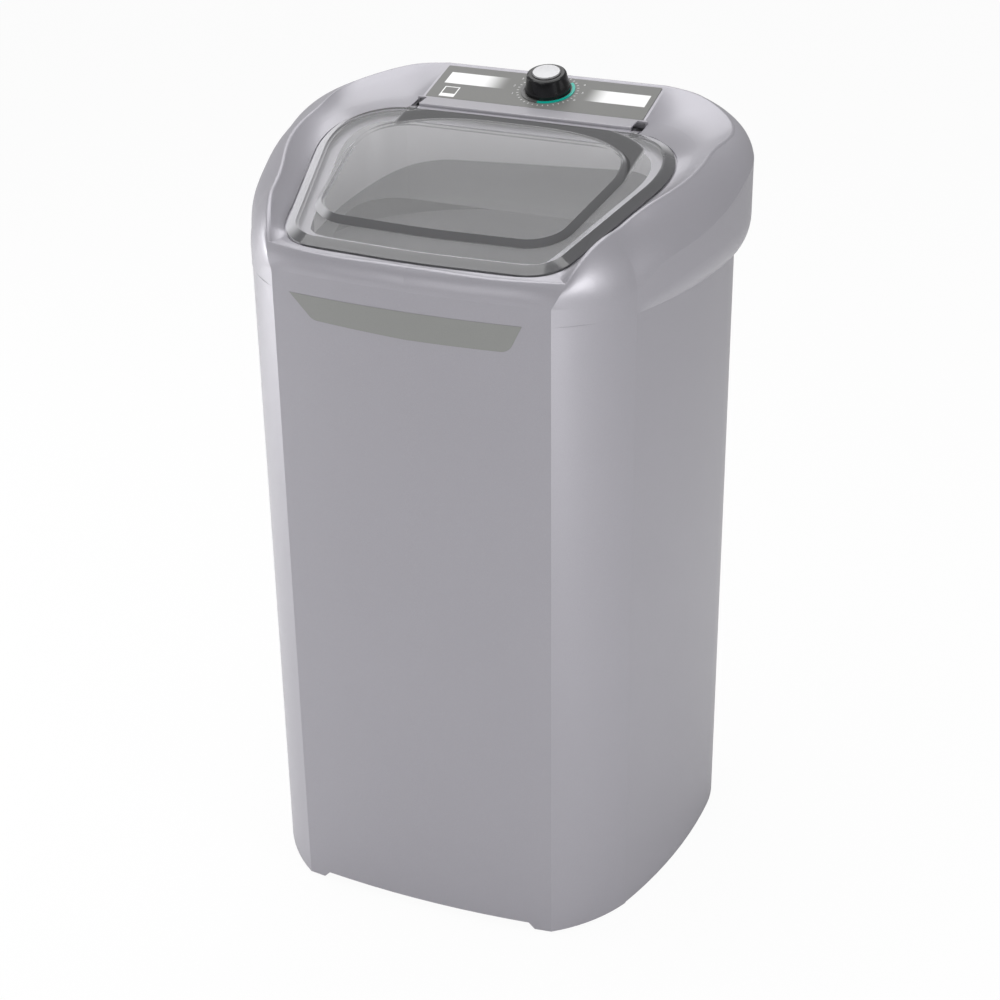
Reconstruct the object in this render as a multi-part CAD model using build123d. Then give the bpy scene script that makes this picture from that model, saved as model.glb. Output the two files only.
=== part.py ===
from build123d import *
import math
import os

# Semi-automatic washing machine, in millimetres. X is to the right as seen from
# the front, Y runs to the back and Z is up from the floor. Sizes called back are
# measured rearwards from the line through the two front creases of the cabinet.

# Cabinet plan
front_half = 156
front_bulge = 10
corner_half = 221
corner_back = 78
corner_bulge = 7
body_half = 259
body_widest_back = 295
body_back = 440
joint_height = 774
joint_fall = 0.07
wall = 3.2
side_step = 0.8
foot_lift = 4

# Top cover
shoulder_proud = 16
shoulder_rear_proud = 12
shoulder_widest_back = 300
skin = 3
rim_rise = 45
crest_rounding = 3

# Lid and its recess
lid_front_back = 9
lid_bow_radius = 1100
lid_front_half = 152
lid_corner_back = 15
lid_side_back = 222
lid_side_half = 206
lid_rear_back = 319
lid_rear_half = 199
lid_front_radius = 50
lid_side_radius = 150
lid_rear_radius = 75
lid_line_height = 817
lid_slope = 0.187
lid_gap = 2.5
lid_wall = 2.5
lid_low = -2.2
lid_rest = 1.0
bumper_radius = 4
bumper_spots = [(110, 20), (110, 312)]
lid_step_rise = 5.5
lid_step_run = 11
ledge_depth = 2.3
ledge_thickness = 3
ledge_width = 26
collar_depth = 42
window_front_back = 57
window_bow_radius = 900
window_front_half = 134
window_corner_back = 62
window_front_radius = 42
window_side_half = 156
window_side_back = 205
window_side_radius = 90
window_rear_half = 150
window_rear_back = 269
window_rear_radius = 48
window_run = 8
window_rise = 6

# Hinge
hinge_back = 336
hinge_drop = 9.6
hinge_pin_radius = 2
bracket_width = 9
barrel_radius = 3.5
ear_width = 9
ear_inset = 135
strip_overhang = 1
strip_depth = 8.5
strip_rear_gap = 1
strip_front_back = 327
strip_proud = 0.9
strip_wall = 2
running_gap = 0.05
seat_gap = 0.3

# Control panel
label_margin = 7
label_front_back = 355
label_front_height = 880.6
label_length = 76
label_tilt = 12.5
knob_x = 4
knob_behind = 5.5
label_thickness = 0.8
knob_radius = 27
knob_top_radius = 23.5
knob_height = 21
cap_radius = 17
cap_height = 2
dial_ring_radius = 32
dial_ring_width = 3.5
timer_shaft_radius = 3
timer_size = 46
timer_depth = 34
timer_skin = 4.2
timer_bush_radius = 6
timer_screw_reach = 15
timer_screw_radius = 1.5
knob_base = 2.4

# Wash tub
tub_back = 205
tub_radius = 202
tub_draft = 6
tub_wall = 3
tub_floor_height = 292
tub_floor = 6
deck_drop = 12
deck_thickness = 4
deck_ledge_width = 14
hub_hole_radius = 21
tub_corner = 22
tub_rib_count = 8
ledge_rib = 5
seal_height = 8

# Agitator
agitator_radius = 162
agitator_edge_height = 26
agitator_dish_height = 11
agitator_hub_radius = 44
agitator_hub_height = 118
agitator_cap_radius = 24
fin_count = 4
fin_height = 46
fin_thickness = 15
agitator_wall = 4
agitator_gap = 8
agitator_seat = 8

# Spindle, bearings and belt drive
shaft_radius = 8
bush_radius = 13
bush_length = 24
housing_radius = 19
housing_flange_radius = 58
housing_flange_thickness = 6
neck_proud = 6
pulley_clear = 25
pulley_radius = 112
pulley_width = 16
motor_pulley_radius = 23
motor_offset_x = 108
motor_offset_back = 128
belt_depth = 6
belt_width = 10
drive_height = 88

# Motor
motor_radius = 62
motor_height = 92
motor_shaft_radius = 6
motor_bracket_thickness = 4
motor_low = 126
shield_height = 22
winding_height = 7
spacer_height = 6.3
bridge_half = 72
rotor_radius = 33
capacitor_radius = 20
capacitor_x = -145
capacitor_back = 112
screw_radius = 2.2
screw_head = 5
deck_screw_inset = 15
deck_screw_backs = [230, 320]
rear_screw_x = 70
rear_screw_inset = 12.5
base_screw_spots = [(-104, 27), (-34, 27), (34, 27), (104, 27)]
harness_radius = 3
harness_bend = 20
harness_x = 62
harness_back = 412.5

# Base and service parts
base_height = 10
base_thickness = 4
foot_radius = 18
service_half = 92
service_low = 108
service_high = 352
badge_drop = 31
badge_left = -135
badge_right = 126
badge_corner_radius = 14
badge_thickness = 1.2
badge_proud = 0.3
badge_margin = 1.5
rear_cover_thickness = 2
louvre_rows = 5
base_gap = 0.4
base_lip = 22
base_corner = 6
base_windows = [(-90, 90, 60, 150), (-60, 60, 250, 340), (-190, -90, 170, 290)]
foot_spots = [(118, 34), (176, 372)]
foot_stem = 6
gland_x = 78
gland_height = 62
gland_neck = 9
gland_bore = 4
drain_x = -80
drain_back = 318
drain_height = 62
drain_inner = 16
spigot_radius = 14
hose_bend = 60
hose_wall = 2.5

shoulder_half = body_half + shoulder_proud
shoulder_back = body_back + shoulder_rear_proud
crease_y = -(shoulder_back - front_bulge) / 2
ear_outer = shoulder_half - ear_inset
strip_half = ear_outer + strip_overhang
label_half = strip_half - label_margin
hinge_height = label_front_height - hinge_drop
strip_top = label_front_height + strip_proud
up = Vector(0, 0, 1)
axis_y = crease_y + tub_back
motor_x = motor_offset_x
motor_y = axis_y + motor_offset_back
motor_heading = math.degrees(math.atan2(motor_offset_back, motor_offset_x))
housing_length = tub_floor_height - tub_floor - drive_height - pulley_width / 2 - pulley_clear
panel_slope = math.tan(math.radians(label_tilt))
lid_stretch = math.sqrt(1 + lid_slope**2)
deck_screw_spots = [(side * rear_screw_x, body_back - rear_screw_inset) for side in (-1, 1)]
deck_screw_spots += [
    (side * (body_half - deck_screw_inset), back) for back in deck_screw_backs for side in (-1, 1)
]


# Small geometry helpers

def point(x, back, height):
    return Vector(x, crease_y + back, height)


def joint_at(back):
    return joint_height - joint_fall * back


def lid_line_at(back):
    return lid_line_height + lid_slope * back


def both_sides(shape):
    return [shape, shape.mirror(Plane.YZ)]


def rod(radius, low, high, x=0.0, y=0.0):
    return Pos(x, y, low) * Cylinder(radius, high - low, align=(Align.CENTER, Align.CENTER, Align.MIN))


def tube(outer, inner, low, high, x=0.0, y=0.0):
    return rod(outer, low, high, x, y) - rod(inner, low - 1, high + 1, x, y)


def block(x0, x1, y0, y1, z0, z1):
    return Pos((x0 + x1) / 2, (y0 + y1) / 2, (z0 + z1) / 2) * Box(x1 - x0, y1 - y0, z1 - z0)


def turned(profile):
    """A solid of revolution about Z from points given as radius and height."""
    return revolve(make_face(Plane.XZ * Polyline(*profile, close=True)), Axis.Z)


def save(name, *solids):
    flat = []
    for item in solids:
        flat.extend(item.solids())
    shape = flat[0] if len(flat) == 1 else Compound(children=flat)
    export_step(shape, f"parts/{name}.step")


# Plan outlines of the cabinet and of the wider cover

def side_radius(half, widest):
    out, along = half - corner_half, widest - corner_back
    return (out * out + along * along) / (2 * out)


def side_x(half, widest, back):
    radius = side_radius(half, widest)
    return half - radius + math.sqrt(radius**2 - (widest - back) ** 2)


def corner_normal():
    return Vector(corner_back, front_half - corner_half, 0).normalized()


def corner_middle():
    chord = Vector((front_half + corner_half) / 2, corner_back / 2, 0)
    return chord + corner_normal() * corner_bulge


def plan(half, widest, rear):
    """Closed plan outline, its origin on the line between the front creases."""
    radius = rear - widest
    diagonal = radius * math.cos(math.pi / 4)
    middle = (corner_back + widest) / 2
    bulge = corner_middle()
    front = ThreePointArc((-front_half, 0), (0, -front_bulge), (front_half, 0))
    corner = ThreePointArc((front_half, 0), (bulge.X, bulge.Y), (corner_half, corner_back))
    side = ThreePointArc((corner_half, corner_back), (side_x(half, widest, middle), middle), (half, widest))
    rear_turn = ThreePointArc(
        (half, widest), (half - radius + diagonal, widest + diagonal), (half - radius, rear)
    )
    back_line = Line((half - radius, rear), (radius - half, rear))
    mirrored = [edge.mirror(Plane.YZ) for edge in (rear_turn, side, corner)]
    return Pos(0, crease_y, 0) * make_face([front, corner, side, rear_turn, back_line] + mirrored)


def body_plan(inset=0.0):
    face = plan(body_half, body_widest_back, body_back)
    return face if inset == 0 else offset(face, -inset, kind=Kind.ARC)


def above_joint(lift=0.0, height=400):
    """The half-space above the sloping joint plane, raised by lift."""
    tilt = math.degrees(math.atan(joint_fall))
    slab = Box(1400, 1400, height, align=(Align.CENTER, Align.CENTER, Align.MIN))
    return Pos(0, crease_y, joint_height + lift) * Rot(-tilt, 0, 0) * slab


# Lid outline, drawn in plan and used on the sloping lid line

LID_CORNERS = [
    (0, lid_front_back, lid_bow_radius),
    (lid_front_half, lid_corner_back, lid_front_radius),
    (lid_side_half, lid_side_back, lid_side_radius),
    (lid_rear_half, lid_rear_back, lid_rear_radius),
]
WINDOW_CORNERS = [
    (0, window_front_back, window_bow_radius),
    (window_front_half, window_corner_back, window_front_radius),
    (window_side_half, window_side_back, window_side_radius),
    (window_rear_half, window_rear_back, window_rear_radius),
]


def rounded_plan(corners, grow, along):
    """A symmetric outline from its right-hand corners, each given as x, back and radius."""
    right = [(x, y * along) for x, y, radius in corners]
    left = [(-x, y) for x, y in reversed(right[1:])]
    face = make_face(Polyline(*right, *left, close=True))
    for x, y, radius in corners:
        near = [v for v in face.vertices() if abs(abs(v.X) - x) < 0.01 and abs(v.Y - y * along) < 0.01]
        face = fillet(near, radius)
    return offset(face, grow, kind=Kind.ARC) if grow else face


def lid_plan(grow=0.0, along=1.0):
    return rounded_plan(LID_CORNERS, grow, along)


def window_plan(grow=0.0, along=1.0):
    return rounded_plan(WINDOW_CORNERS, grow, along)


def lid_place(lift=0.0):
    """Where the lid's own plan lies: on the lid line, raised by lift."""
    tilt = math.degrees(math.atan(lid_slope))
    return Pos(0, crease_y, lid_line_height) * Rot(tilt, 0, 0) * Pos(0, 0, lift)


def lid_slab(grow, low, high):
    """The lid outline, grown, between two heights off the lid line."""
    return lid_place(low) * extrude(lid_plan(grow, lid_stretch), high - low)


def lid_step(plan_of, grow_low, grow_high, low, high):
    """A tapering step between two growths of an outline, on the lid line."""
    faces = [plan_of(grow_low, lid_stretch), Pos(0, 0, high - low) * plan_of(grow_high, lid_stretch)]
    return lid_place(low) * loft(faces, ruled=True)


# Top cover, one thin moulding lofted through stations round its edge

def station(joint, shoulder, outward, crease_rise, crest, bulge, edges):
    """The named points of one cross-section of the cover."""
    seat = joint_at(joint.Y)
    flare = (shoulder - joint).length
    recess_edge, mouth_edge = edges
    touch = nearest(recess_edge, crest)
    mouth = nearest(mouth_edge, touch)
    if crest.X == 0:
        touch = Vector(0, touch.Y, 0)
        mouth = Vector(0, mouth.Y, 0)
    inward = Vector(touch.X - crest.X, touch.Y - crest.Y, 0)
    return {
        "joint": Vector(joint.X, joint.Y, seat),
        "flare": Vector(shoulder.X, shoulder.Y, seat + 8 + 2 * flare),
        "crease": Vector(shoulder.X, shoulder.Y, seat + crease_rise),
        "crest": crest,
        "lid": Vector(touch.X, touch.Y, lid_line_at(touch.Y)),
        "mouth": Vector(mouth.X, mouth.Y, lid_line_at(mouth.Y)),
        "outward": outward,
        "inward": inward.normalized(),
        "reach": inward.length,
        "bulge": bulge,
        "flared": flare > 0.5,
        "panel": False,
        "hollow": 0.04,
    }


def nearest(edge, spot):
    """The point of an outline that lies nearest to a spot in plan."""
    return edge.distance_to_with_closest_points(Vertex(spot.X, spot.Y, 0))[1]


def bowed(a, b, outward, bulge):
    """An arc from a to b that stands off its chord, upwards for a positive bulge."""
    normal = (b - a).cross(Vector(-outward.Y, outward.X, 0)).normalized()
    if normal.Z < 0:
        normal = normal * -1
    return ThreePointArc(a, (a + b) * 0.5 + normal * bulge, b)


def deck_edges(brow, lid, place):
    """The surface between crest and lid: a dished arc, or the panel and a flat strip."""
    if place["panel"]:
        fold = Vector(brow.X, label_front_back, brow.Z - (brow.Y - label_front_back) * panel_slope)
        return [Line(brow, fold), Line(fold, lid)]
    arc = bowed(brow, lid, place["inward"] * -1, -place["reach"] * place["hollow"])
    fold = arc @ 0.57
    return [ThreePointArc(brow, arc @ 0.28, fold), ThreePointArc(fold, arc @ 0.78, lid)]


def cover_section(place):
    """One closed cross-section of the moulding, outside first and then inside."""
    outward, inward = place["outward"], place["inward"]
    drop = up * skin
    inset = outward * skin
    crest_in = min(crest_rounding, place["reach"] * 0.35)
    joint, flare, crease, crest, lid = (place[key] for key in ("joint", "flare", "crease", "crest", "lid"))
    shoulder = crest + outward * crest_rounding * 0.8 - up * crest_rounding * 0.5
    brow = crest + inward * crest_in - up * crest_rounding * 0.3
    recess = lid - up * ledge_depth
    mouth = place["mouth"] - up * ledge_depth
    mouth_out = Vector(lid.X - mouth.X, lid.Y - mouth.Y, 0).normalized() * skin
    collar_low = lid_line_height - collar_depth

    joint_in = Vector(joint.X, joint.Y, 0) - inset
    joint_in = Vector(joint_in.X, joint_in.Y, joint_at(joint_in.Y))
    flare_in = flare - inset
    crease_in = crease - inset - drop * 0.4
    shoulder_in = shoulder - inset * 0.6 - drop
    brow_in = brow - drop * 1.2
    recess_in = recess - inward * skin - up * ledge_thickness
    mouth_in = mouth + mouth_out - up * ledge_thickness

    def drop_line(top, base):
        return TangentArc(top, base, tangent=(0, 0, -1)) if place["flared"] else Line(base, top)

    inner_deck = deck_edges(brow_in, recess_in, place)
    edges = [
        drop_line(flare, joint),
        Line(flare, crease),
        bowed(crease, shoulder, outward, place["bulge"]),
        ThreePointArc(shoulder, crest, brow),
        *deck_edges(brow, lid, place),
        Line(lid, recess),
        Line(recess, mouth),
        Line(mouth, Vector(mouth.X, mouth.Y, collar_low)),
        Line(Vector(mouth.X, mouth.Y, collar_low), Vector(mouth_in.X, mouth_in.Y, collar_low)),
        Line(Vector(mouth_in.X, mouth_in.Y, collar_low), mouth_in),
        Line(mouth_in, recess_in),
        inner_deck[1],
        inner_deck[0],
        Line(shoulder_in, brow_in),
        bowed(crease_in, shoulder_in, outward, place["bulge"] * 0.8),
        Line(flare_in, crease_in),
        drop_line(flare_in, joint_in),
        Line(joint_in, joint),
    ]
    return Wire(edges)


def front_stations(edges):
    places = []
    for share in (0.0, 0.35, 0.65, 0.88):
        base = Vector(front_half * share, -front_bulge * (1 - share**2), 0)
        crest = Vector((front_half + 9) * share, 16 * share**4, joint_height + rim_rise)
        places.append(station(base, base, Vector(0, -1, 0), 20, crest, 3, edges))
    return places


def corner_stations(edges):
    crease = Vector(front_half, 0, 0)
    crease_out = Vector(0.45, -0.9, 0).normalized()
    front_crest = Vector(front_half + 9, 16, joint_height + rim_rise - 1)
    middle = corner_middle()
    middle_crest = Vector(front_half + 23, 43, joint_height + 68)
    side = Vector(corner_half, corner_back, 0)
    side_crest = Vector(corner_half - 28, corner_back + 2, joint_height + 79)
    return [
        station(crease, crease, crease_out, 20, front_crest, 2.6, edges),
        station(middle, middle, corner_normal(), 18, middle_crest, 4.2, edges),
        station(side, side, Vector(1, -0.25, 0).normalized(), 17.5, side_crest, 7.3, edges),
    ]


# Each row: back, rise of the swept crease, inset and rise of the crest, bulge
SIDE_ROWS = [
    (92, 36, 31, 89, 6.5),
    (113, 48, 34, 95, 6),
    (151, 57, 34, 103.6, 5),
    (205, 69, 33, 113, 5),
    (254, 83, 36, 121, 5),
    (296, 98, 37, 127, 5),
]
# Each row: angle round the rear corner, rise of crease, inset and rise of crest
REAR_ROWS = [(18, 107, 27, 131), (40, 117, 18, 139), (62, 126, 15, 150), (84, 130, 15, 157)]


def side_stations(edges):
    places = []
    for back, crease_rise, inset, crest_rise, bulge in SIDE_ROWS:
        body = Vector(side_x(body_half, body_widest_back, back), back, 0)
        shoulder = Vector(side_x(shoulder_half, shoulder_widest_back, back), back, 0)
        lean = (shoulder_widest_back - back) / side_radius(shoulder_half, shoulder_widest_back)
        outward = Vector(1, -lean, 0).normalized()
        crest = shoulder - outward * inset + up * (joint_at(back) + crest_rise)
        places.append(station(body, shoulder, outward, crease_rise, crest, bulge, edges))
    for angle, crease_rise, inset, crest_rise in REAR_ROWS:
        outward = Vector(math.cos(math.radians(angle)), math.sin(math.radians(angle)), 0)
        body_turn = body_back - body_widest_back
        shoulder_turn = shoulder_back - shoulder_widest_back
        body = Vector(body_half - body_turn, body_widest_back, 0) + outward * body_turn
        centre = Vector(shoulder_half - shoulder_turn, shoulder_widest_back, 0)
        shoulder = centre + outward * shoulder_turn
        crest = shoulder - outward * inset + up * (joint_at(body.Y) + crest_rise)
        places.append(station(body, shoulder, outward, crease_rise, crest, 5, edges))
    return places


def cover_skin():
    """The cover's moulding from the cabinet's edge up, in to the lid and down into the tub."""
    edges = (lid_plan(lid_gap).face().outer_wire(), lid_plan(-ledge_width).face().outer_wire())
    front = front_stations(edges)
    corner = corner_stations(edges)
    side = side_stations(edges)
    for place in side:
        share = min(1.0, max(0.0, (place["joint"].Y - 250) / 190))
        place["hollow"] = 0.05 + 0.035 * share
    last = side[-1]
    last["panel"] = True
    last["inward"] = Vector(0, -1, 0)
    crest = last["crest"]
    brow_height = label_front_height + (crest.Y - crest_rounding - label_front_back) * panel_slope
    last["crest"] = Vector(crest.X, crest.Y, brow_height + crest_rounding * 0.3)
    middle = dict(last)
    for key in ("joint", "flare", "crease", "crest", "lid", "mouth"):
        middle[key] = Vector(0, last[key].Y, last[key].Z)
    middle["outward"] = Vector(0, 1, 0)
    groups = [front + corner[:1], corner, corner[-1:] + side, [last, middle]]
    faces = []
    for group in groups:
        wires = [cover_section(place) for place in group]
        faces += Shell.make_loft(wires, len(wires) == 2).faces()
    faces += [face.mirror(Plane.YZ) for face in faces]
    return Pos(0, crease_y, 0) * Solid(Shell(faces))


def label_place(lift=0.0):
    """The tilted plane of the control label, its origin at the label's centre."""
    half_run = label_length / 2
    rise = half_run * math.sin(math.radians(label_tilt))
    run = half_run * math.cos(math.radians(label_tilt))
    centre = point(0, label_front_back + run, label_front_height + rise)
    return Pos(*centre) * Rot(label_tilt, 0, 0) * Pos(0, 0, lift)


def knob_place():
    """The label's plane with its origin on the knob's axis."""
    return label_place() * Pos(knob_x, knob_behind, 0)


def strip_window(grow, low, high):
    """The pocket in the deck behind the lid that the hinge strip lies in."""
    front = crease_y + strip_front_back - grow
    rear = crease_y + label_front_back - strip_rear_gap + grow
    return block(-strip_half - grow, strip_half + grow, front, rear, low, high)


def ear_slots(grow, reach, back_low, back_high):
    """Clearance for the lid's two hinge ears, out to a given half width."""
    low, high = crease_y + back_low, crease_y + back_high
    slot = block(ear_outer - ear_width - grow, reach, low, high, strip_top - 18, strip_top + 12)
    return slot + slot.mirror(Plane.YZ)


def make_top_cover():
    cover = cover_skin()
    cover -= strip_window(seat_gap, strip_top - 16, strip_top + 12)
    cover -= ear_slots(1.0, ear_outer + 1.0, lid_rear_back - 4, strip_front_back + 2)
    cover -= knob_place() * Cylinder(timer_bush_radius + seat_gap, 14)
    return cover - timer_screw_holes(timer_screw_radius + seat_gap)


def make_hinge_cover():
    """The strip behind the lid, a thin channel with its front corners notched for the ears."""
    strip = strip_window(0, strip_top - strip_depth, strip_top)
    strip = fillet(strip.edges().filter_by(Axis.X).group_by(Axis.Z)[-1].group_by(Axis.Y)[0], strip_wall)
    front = crease_y + strip_front_back
    rear = crease_y + label_front_back - strip_rear_gap
    strip -= block(
        -strip_half + strip_wall, strip_half - strip_wall, front + strip_wall, rear - strip_wall,
        strip_top - strip_depth - 1, strip_top - strip_wall,
    )
    return strip - ear_slots(1.5, strip_half + 1, strip_front_back - 5, hinge_back + 14)


def make_hinge_brackets():
    """Two arms under the deck, inboard of the ears, that hold the hinge pins."""
    pin_y = crease_y + hinge_back
    low = hinge_height - 12
    under_deck = label_front_height - skin * 1.2
    foot = crease_y + label_front_back + 1
    profile = [
        (pin_y - 6, low + 6), (pin_y - 6, hinge_height + 3), (pin_y + 6, hinge_height + 3),
        (foot, hinge_height + 1), (foot, under_deck), (foot + 20, under_deck), (foot + 20, low), (pin_y, low),
    ]
    face = make_face(Plane.YZ * Polyline(*profile, close=True))
    middle = ear_outer - ear_width - 1 - bracket_width / 2
    arm = Pos(middle, 0, 0) * extrude(face, bracket_width / 2, both=True)
    wing = block(-bracket_width / 2 - 6, bracket_width / 2 + 6, foot, foot + 20, low, under_deck)
    arm += Pos(middle, 0, 0) * wing
    pin_hole = Pos(0, pin_y, hinge_height) * Rot(0, 90, 0) * Cylinder(hinge_pin_radius, 400)
    return both_sides(arm - pin_hole)


def make_hinge_pins():
    inner, outer = ear_outer - ear_width - 1 - bracket_width, ear_outer
    pin = Cylinder(hinge_pin_radius, outer - inner)
    middle = (inner + outer) / 2
    return both_sides(Pos(middle, crease_y + hinge_back, hinge_height) * Rot(0, 90, 0) * pin)


# Lid: a moulded frame stepping up twice to a raised window, with two hinge ears

def lid_levels(under):
    """The stacked solids of the lid's outside, or of its hollow when under is positive."""
    side = under * 1.1
    base = lid_rest + lid_low
    ring = base + lid_wall + lid_step_rise
    levels = [
        lid_slab(-side, base - 5 * (under > 0), base + lid_wall - under),
        lid_step(lid_plan, -side, -lid_step_run - side, base + lid_wall - under, ring - under),
        lid_step(window_plan, window_run - side, -side, ring - under - 0.5, ring + window_rise - under),
    ]
    return levels


def make_lid():
    outside = lid_levels(0)
    lid = outside[0] + outside[1] + outside[2]
    hollow = lid_levels(lid_wall)
    lid -= hollow[0]
    lid -= hollow[1]
    lid -= hollow[2]
    rim_outer = lid_slab(0, lid_rest + lid_low, lid_rest + lid_low + lid_wall)
    lid += rim_outer - lid_slab(-8, lid_rest - 10, lid_rest + 30)
    pin_y = crease_y + hinge_back
    edge = crease_y + lid_rear_back
    edge_height = lid_line_at(lid_rear_back) + lid_rest + lid_low
    profile = [
        (edge - 3, edge_height + 0.6), (edge - 3, edge_height + lid_wall), (edge + 4, edge_height + lid_wall),
        (pin_y, hinge_height + barrel_radius), (pin_y, hinge_height - barrel_radius),
        (edge + 6, hinge_height - 1), (edge + 3, edge_height + 0.2),
    ]
    face = make_face(Plane.YZ * Polyline(*profile, close=True))
    ear_middle = ear_outer - ear_width / 2
    hinge_line = Pos(ear_middle, pin_y, hinge_height) * Rot(0, 90, 0)
    ear = Pos(ear_middle, 0, 0) * extrude(face, ear_width / 2, both=True)
    ear += hinge_line * Cylinder(barrel_radius, ear_width)
    ear -= hinge_line * Cylinder(hinge_pin_radius + running_gap, ear_width + 2)
    for side in both_sides(ear):
        lid += side
    return lid


def make_lid_bumpers():
    """Small rubber pads stuck under the lid's rim, resting on the cover's ledge."""
    pads = []
    for x, back in bumper_spots:
        pad = lid_place(lid_low) * Pos(x, back * lid_stretch, 0) * rod(bumper_radius, 0, lid_rest)
        pads += both_sides(pad)
    return pads


# Control panel

def make_control_label():
    plate = Box(2 * label_half, label_length, label_thickness, align=(Align.CENTER, Align.CENTER, Align.MIN))
    plate = fillet(plate.edges().filter_by(Axis.Z), 2)
    plate -= Pos(knob_x, knob_behind, 0) * Cylinder(timer_bush_radius + seat_gap, 10)
    return label_place() * plate - timer_screw_holes(timer_screw_radius + seat_gap)


def make_dial_ring():
    ring = tube(dial_ring_radius, dial_ring_radius - dial_ring_width, label_thickness, label_thickness + 1)
    return knob_place() * ring


def make_timer():
    body = Pos(0, 0, -timer_skin - timer_depth / 2) * Box(timer_size, timer_size, timer_depth)
    body = fillet(body.edges().filter_by(Axis.Z), 5)
    body += rod(timer_bush_radius, -timer_skin - 1, label_thickness + 1.2)
    for x in (-15, -5, 5, 15):
        body += Pos(x, 0, -timer_skin - timer_depth) * Box(6, 0.8, 16)
    body -= rod(timer_shaft_radius + running_gap, -timer_skin - timer_depth + 6, 20)
    return knob_place() * body - timer_screw_holes(timer_screw_radius)


def make_timer_shaft():
    shaft = rod(timer_shaft_radius, -timer_skin - timer_depth + 8, knob_base + knob_height - 5)
    flat = block(timer_shaft_radius - 1, 10, -10, 10, knob_base, 60)
    return knob_place() * (shaft - flat)


def make_timer_screws():
    """Two screws that hold the timer to the panel, hidden inside the knob's skirt."""
    screws = []
    for side in (-1, 1):
        reach = side * timer_screw_reach
        head = rod(timer_screw_radius * 2, label_thickness, label_thickness + 1.3, 0, reach)
        shank = rod(timer_screw_radius, -timer_skin - 6, label_thickness + 0.5, 0, reach)
        screws.append(knob_place() * (head + shank))
    return screws


def timer_screw_holes(radius):
    hole = rod(radius, -timer_skin - 6, 10, 0, timer_screw_reach)
    return knob_place() * (hole + hole.mirror(Plane.XZ))


def make_wire_harness():
    """The loom from under the timer, down behind the tub, to the motor's casing."""
    x, y = harness_x, crease_y + harness_back
    under_timer = -timer_skin - timer_depth
    start = (knob_place() * Pos(0, 8, under_timer)).position
    below = (knob_place() * Pos(0, 8, under_timer - harness_bend)).position
    deck_entry = Vector(x, y, deck_top(harness_back) + 2 * harness_bend)
    motor_height_reached = motor_low + motor_height - 30
    reach = (motor_radius + seat_gap) * math.sqrt(0.5)
    end = Vector(motor_x + reach, motor_y + reach, motor_height_reached)
    outside = end + Vector(harness_bend, harness_bend, 0)
    path = FilletPolyline(
        start, below, deck_entry, Vector(x, y, motor_height_reached + 3 * harness_bend), outside, end,
        radius=harness_bend * 0.6,
    )
    return sweep(Plane(origin=path @ 0, z_dir=path % 0) * Circle(harness_radius), path=path)


def make_knob():
    top = knob_base + knob_height
    skirt = knob_base + 3
    knob = turned([
        (0, knob_base), (knob_radius, knob_base), (knob_radius, skirt), (knob_radius - 1.2, skirt + 1.5),
        (knob_top_radius, top - 2.2), (knob_top_radius - 0.8, top - 0.8), (knob_top_radius - 2.4, top),
        (cap_radius + 0.5, top), (cap_radius + 0.5, top - 1), (0, top - 1),
    ])
    hollow = turned([
        (8, knob_base - 1), (knob_radius - 2.5, knob_base - 1), (knob_radius - 2.5, skirt + 1),
        (knob_top_radius - 2.5, top - 5), (8, top - 5),
    ])
    knob -= hollow
    bore = rod(timer_shaft_radius, knob_base - 1, top - 5)
    flat = block(timer_shaft_radius - 1, 10, -10, 10, knob_base, 60)
    return knob_place() * (knob - (bore - flat))


def make_knob_cap():
    top = knob_base + knob_height
    cap = turned([
        (0, top - 1), (cap_radius, top - 1), (cap_radius, top + cap_height - 1.2),
        (cap_radius - 1.2, top + cap_height), (0, top + cap_height + 0.4),
    ])
    return knob_place() * cap


# Cabinet: a front moulding and a wrap-round shell, both with an inner ledge for the tub deck

def wall_ring(outer, inner, low):
    ring = extrude(body_plan(outer) - body_plan(inner), 800)
    return Pos(0, 0, low) * ring - above_joint()


def ledge_ring(inner):
    """The inward ledge under the tub's deck, along the sloping joint."""
    ring = extrude(body_plan(inner - 1) - body_plan(inner + deck_ledge_width), 1000)
    ring -= above_joint(-deck_drop - deck_thickness)
    ring -= rod(tub_radius + tub_wall + 0.6, 500, 1000, 0, axis_y)
    return ring & above_joint(-deck_drop - deck_thickness - ledge_rib, 100)


def seam_block(rear):
    seam = crease_y + corner_back
    near, far = (seam, seam + 600) if rear else (seam - 600, seam)
    return block(-400, 400, near, far, -10, 1000)


def badge_block(grow=0.0):
    """The band's outline seen from the front, thrown through the front wall."""
    top = joint_at(0) - badge_margin
    profile = [
        (badge_left, top), (badge_right, top), (badge_right - 14, top - badge_drop + 1),
        (0, top - badge_drop), (badge_left + 27, top - badge_drop + 4),
    ]
    face = make_face(Plane.XZ * Polyline(*profile, close=True))
    for x in (badge_right - 14, badge_left + 27):
        corner = [vertex for vertex in face.vertices() if abs(vertex.X - x) < 0.01]
        face = fillet(corner, badge_corner_radius)
    return Pos(0, crease_y, 0) * extrude(face, 40, both=True)


def make_badge_band():
    proud = extrude(body_plan(-badge_proud) - body_plan(badge_thickness), 1000)
    return proud & badge_block()


def make_cabinet_front():
    front = wall_ring(0, wall, foot_lift) + ledge_ring(wall)
    front = front & seam_block(False)
    front -= extrude(body_plan(-5) - body_plan(badge_thickness), 1000) & badge_block()
    notch = make_face(Plane.XZ * Polyline(
        (-137, foot_lift - 1), (-129, foot_lift + 8), (129, foot_lift + 8), (137, foot_lift - 1), close=True))
    return front - Pos(0, crease_y, 0) * extrude(notch, 30, both=True)


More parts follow.
